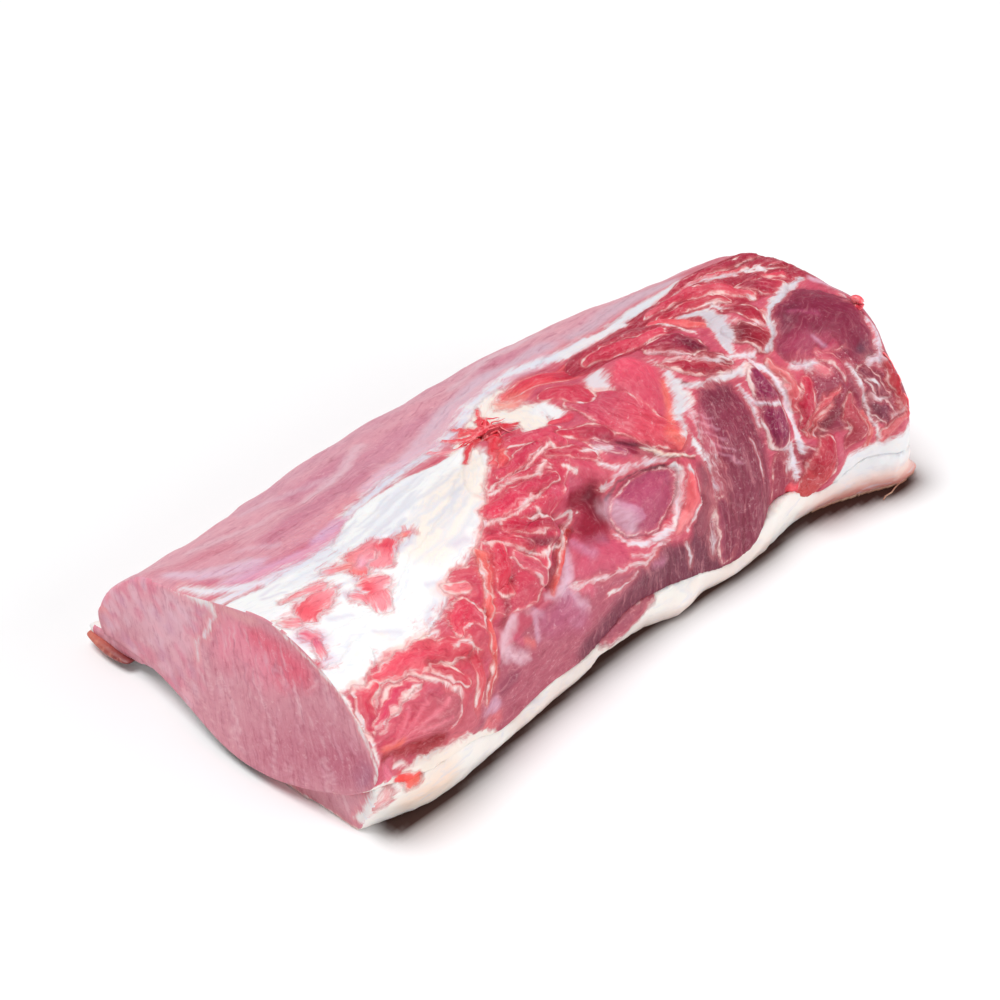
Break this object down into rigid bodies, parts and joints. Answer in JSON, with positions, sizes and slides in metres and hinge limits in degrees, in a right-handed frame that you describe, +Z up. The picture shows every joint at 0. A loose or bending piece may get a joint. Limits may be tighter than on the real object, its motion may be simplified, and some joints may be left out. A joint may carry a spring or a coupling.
{
  "type": "raw pork loin",
  "caption": "Boneless raw loin roast on its fat cap, with a clean cut face at one end, a smooth lean side and a ragged, marbled boned side.",
  "frame": {"origin": "on the table under the middle of the whole loin", "axes": "+X along the loin from the clean cut face to the ragged blade end, +Y towards the smooth side, +Z up from the fat cap"},
  "size_m": [0.3268, 0.1668, 0.0828],
  "materials": {
    "lean": "moist raw lean meat, satin with small wet highlights",
    "fat": "firm white fat, softly satin",
    "rind": "moist tan rind, satin"
  },
  "bodies": {
    "root": {"lean": "lean", "fat_cap": "fat"}
  },
  "joints": []
}
